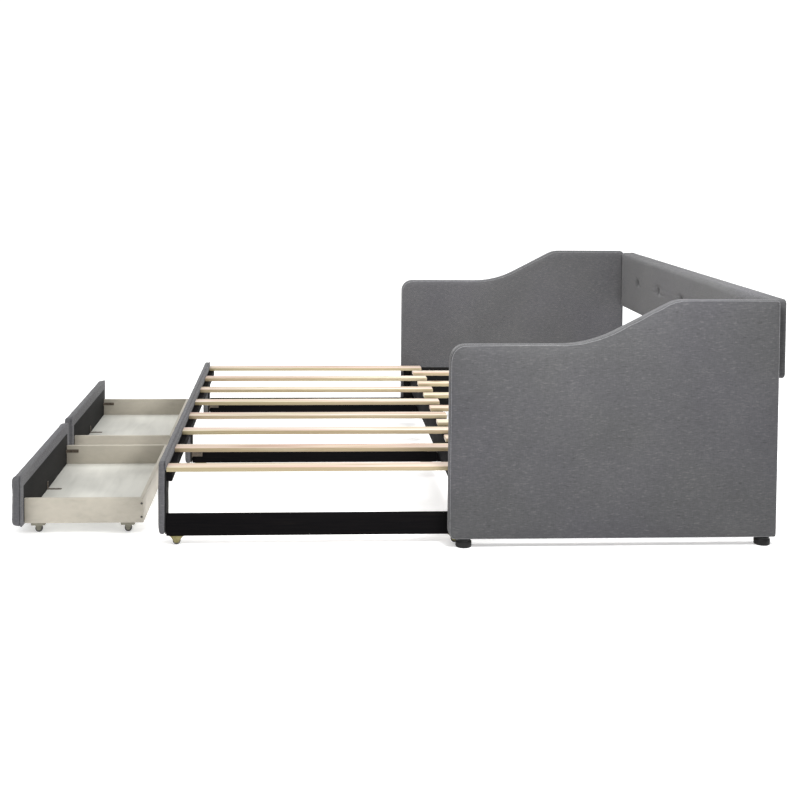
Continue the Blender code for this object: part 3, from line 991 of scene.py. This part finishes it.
def build_trundle_backing(corners, back, behind):
    """Black cloth behind the front frame, a little loose."""
    bm = bmesh.new()
    rings = []
    stations = [(0.004, back + 0.0002), (0.003, back + 0.001)]
    stations += [(0.003, behind - 0.002), (0.005, behind - 0.0006)]
    for shrink, depth in stations:
        ring = []
        for point in split(rounded_outline(corners, shrink), 0.012):
            spot = Vector((point.x, depth, point.y))
            loose = noise.noise_vector(spot * 34.0) * 0.0016
            ring.append(spot + Vector((loose.x, min(loose.y, 0.0003), loose.z)))
        rings.append(ring)
    skinned(bm, rings)
    settle(make_piece("trundle_front_backing", bm, "lining"), "trundle")


def build_trundle():
    build_trundle_front()
    for node in ("trundle_slat_ledge", "trundle_rear_board"):
        board_for(node, "black", "trundle", BOARD_ARRIS)
    for number in range(1, 9):
        board_for(f"trundle_slat_{number}", "pine", "trundle", SLAT_ARRIS, SLAT_WOBBLE)
    back_of_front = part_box("trundle_front_cover")[1].y
    for label in ("left", "middle", "right"):
        build_floor_rail(label, back_of_front)


def build_floor_rail(label, back_of_front):
    node = f"trundle_{label}_floor_rail"
    low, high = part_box(node)
    bottom = FLOOR_RAIL_BOTTOM
    piece = bar(node + "_board", (low.x, low.y, bottom), high, "black", BOARD_ARRIS)
    settle(piece, "trundle", [node])
    rear_low, rear_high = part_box("trundle_rear_board")
    toe_low = (low.x, high.y + FIT, bottom)
    toe_high = (high.x, rear_high.y, rear_low.z - FIT)
    toe = bar(node + "_toe", toe_low, toe_high, "black", 0.0015)
    settle(toe, "trundle")
    x = (low.x + high.x) / 2
    for end in ("front", "rear"):
        wheel_low, wheel_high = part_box(f"trundle_{label}_{end}_wheel")
        y = (wheel_low.y + wheel_high.y) / 2
        sizes = (TRUNDLE_FORK_HALF, TRUNDLE_PLATE)
        build_caster(f"trundle_{label}_{end}", x, y, bottom, "brass", "trundle", *sizes)
    sides = {"left": (1,), "right": (-1,), "middle": (-1, 1)}[label]
    front_height = 0.066
    rear_height = 0.082
    legs = (0.040, 0.034) if label != "middle" else (0.040, 0.022)
    width = 0.022
    for side in sides:
        face = high.x if side > 0 else low.x
        tag = "" if len(sides) == 1 else ("_left" if side < 0 else "_right")
        name = f"trundle_{label}{tag}"
        front = (face + side * FIT, back_of_front + 0.0003, front_height)
        along = SIDEWAYS * side
        build_bracket(name + "_front_bracket", front, BACKWARD, along, UPWARD, legs, width, "trundle")
        rear = (face + side * FIT, rear_low.y - FIT, rear_height)
        build_bracket(name + "_rear_bracket", rear, FORWARD, along, UPWARD, legs, width, "trundle")


# ---------------------------------------------------------------- drawers


def build_drawer(name):
    build_drawer_front(name)
    for part in ("left_side", "right_side", "back"):
        board_for(f"{name}_{part}", "cream", name, DRAWER_ARRIS)
    build_drawer_bottom(name)
    build_drawer_brackets(name)


def build_drawer_front(name):
    """Padded face, the wrapped board behind it, and the black cloth on its inner side."""
    low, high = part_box(name + "_front_cover")
    back = low.y + PAD_DEPTH_DRAWER
    corners = box_corners((low.x, low.z), (high.x, high.z), 0.018)
    shape = (corners, low.y + PAD_ROOM, back, along_front)
    label = name + "_front_upholstery"
    # The drawer front's pad and wrap take the paler linen: painted light.
    piece = slab(label, "front_linen_painted_light", *shape, edges=(0.012, 0.003), inset=0.0015)
    settle(piece, name, [name + "_front_cover", name + "_front_board"])
    loose = pucker(0.0006, 22.0)
    pad(piece, voxel=0.0045, cap=0.0042, held=lambda co: co.y > back - 0.002, before=loose)
    shape = (corners, back + 0.0001, high.y - 0.0008, along_front)
    piece = slab(name + "_front_wrap", "front_linen_painted_light", *shape, edges=(0.0015, 0.003), inset=0.001)
    settle(piece, name)
    corners = box_corners((low.x + 0.034, low.z + 0.012), (high.x - 0.034, high.z - 0.040), 0.004)
    shape = (corners, high.y - 0.0007, high.y - 0.0001, along_front)
    piece = slab(name + "_front_lining", "lining", *shape, edges=(0.0001, 0.0002), steps=2)
    settle(piece, name)


def build_drawer_bottom(name):
    low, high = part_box(name + "_bottom")
    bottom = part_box(name + "_left_side")[0].z
    piece = bar(name + "_bottom_board", (low.x, low.y, bottom), high, "white", 0.001)
    settle(piece, name, [name + "_bottom"])
    for end in ("front", "rear"):
        for side in ("left", "right"):
            wheel_low, wheel_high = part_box(f"{name}_{end}_{side}_wheel")
            middle = (wheel_low + wheel_high) / 2
            prefix = f"{name}_{end}_{side}"
            sizes = (DRAWER_FORK_HALF, DRAWER_PLATE)
            build_caster(prefix, middle.x, middle.y, bottom, "caster", name, *sizes)


def build_drawer_brackets(name):
    """Angle brackets that hold the front, and the screws at the back corners."""
    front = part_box(name + "_front_cover")[1].y + FIT
    bottom_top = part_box(name + "_bottom")[1].z
    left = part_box(name + "_left_side")
    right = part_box(name + "_right_side")
    middle = (left[0].x + right[1].x) / 2
    height = 0.098
    legs = (0.046, 0.018)
    for side, face, inward in (("left", left[1].x, SIDEWAYS), ("right", right[0].x, -SIDEWAYS)):
        place = (face, front, height)
        build_bracket(f"{name}_{side}_bracket", place, BACKWARD, inward, UPWARD, legs, 0.012, name)
    place = (middle, front, bottom_top)
    legs = (0.050, 0.028)
    build_bracket(name + "_floor_bracket", place, BACKWARD, UPWARD, SIDEWAYS, legs, 0.014, name)
    bm = bmesh.new()
    for side, face in ((-1, left[0].x), (1, right[1].x)):
        for z in (0.100, 0.055):
            add_screw(bm, (face, left[1].y - 0.006, z), 0, side, 0.0038)
    settle(make_piece(name + "_corner_screws", bm, "screw"), name)


# ---------------------------------------------------------------- stage


def build_camera():
    """The long view from beside the near arm, with only as much shift as its framing needs."""
    camera = bpy.data.objects.new("camera", bpy.data.cameras.new("camera"))
    bpy.context.scene.collection.objects.link(camera)
    camera.data.sensor_width = 36.0
    camera.data.lens = CAMERA_LENS
    camera.data.shift_x, camera.data.shift_y = CAMERA_SHIFT
    place = Matrix.Translation(CAMERA_PLACE)
    yaw = Matrix.Rotation(math.pi / 2 - CAMERA_YAW, 4, "Z")
    pitch = Matrix.Rotation(math.pi / 2 - CAMERA_PITCH, 4, "X")
    roll = Matrix.Rotation(CAMERA_ROLL, 4, "Z")
    camera.matrix_world = place @ yaw @ pitch @ roll
    bpy.context.scene.camera = camera


def add_light(name, place, aim, size, power, spread=180.0):
    """Round softbox, unseen by the camera. A spread under 180 degrees gives it a grid."""
    light = bpy.data.objects.new(name, bpy.data.lights.new(name, "AREA"))
    bpy.context.scene.collection.objects.link(light)
    light.data.shape = "DISK"
    light.data.size = size
    light.data.energy = power
    light.data.spread = math.radians(spread)
    light.visible_camera = False
    light.location = place
    light.rotation_euler = (Vector(aim) - Vector(place)).to_track_quat("-Z", "Y").to_euler()


def build_world():
    """Soft box of light: a bright ceiling, dimmer walls, and white down to the horizon."""
    world = bpy.data.worlds.new("soft_studio")
    bpy.context.scene.world = world
    world.use_nodes = True
    tree = world.node_tree
    place = tree.nodes.new("ShaderNodeTexCoord")
    split = tree.nodes.new("ShaderNodeSeparateXYZ")
    ramp = tree.nodes.new("ShaderNodeValToRGB")
    scale = tree.nodes.new("ShaderNodeMath")
    scale.operation = "MULTIPLY"
    scale.inputs[1].default_value = CEILING_LIGHT
    elements = ramp.color_ramp.elements
    while len(elements) < len(WORLD_STOPS):
        elements.new(0.5)
    for element, (position, level) in zip(elements, WORLD_STOPS):
        element.position = position
        element.color = (level, level, level, 1.0)
    tree.links.new(place.outputs["Generated"], split.inputs[0])
    tree.links.new(split.outputs["Z"], ramp.inputs["Fac"])
    tree.links.new(ramp.outputs["Color"], scale.inputs[0])
    tree.links.new(scale.outputs[0], tree.nodes["Background"].inputs["Strength"])
    tree.nodes["Background"].inputs["Color"].default_value = (1.0, 1.0, 1.0, 1.0)


def build_stage():
    build_world()
    bpy.context.scene.view_settings.view_transform = "Standard"
    bm = bmesh.new()
    bmesh.ops.create_circle(bm, cap_ends=True, segments=96, radius=60.0)
    floor = make_piece("floor", bm, "floor")
    add_light("key", (1.75, 0.5, 1.5), (1.0, 0.5, 0.5), 0.5, 24.0)
    add_light("fill", (0.75, 1.15, 1.75), (-1.0, 0.6, 0.5), 0.5, 24.0)
    add_light("far_fill", (0.3, -0.3, 1.8), (-1.0, 0.45, 0.5), 0.4, 7.5, 90.0)


# Without a seed, noise_vector() would differ from run to run.
noise.seed_set(1)

MATERIALS = build_materials()
build_camera()
build_stage()
arms = build_daybed()
build_trundle()
for drawer in ("left_drawer", "right_drawer"):
    build_drawer(drawer)
inflate_pads()
bpy.context.view_layer.update()
build_arm_welts(arms)
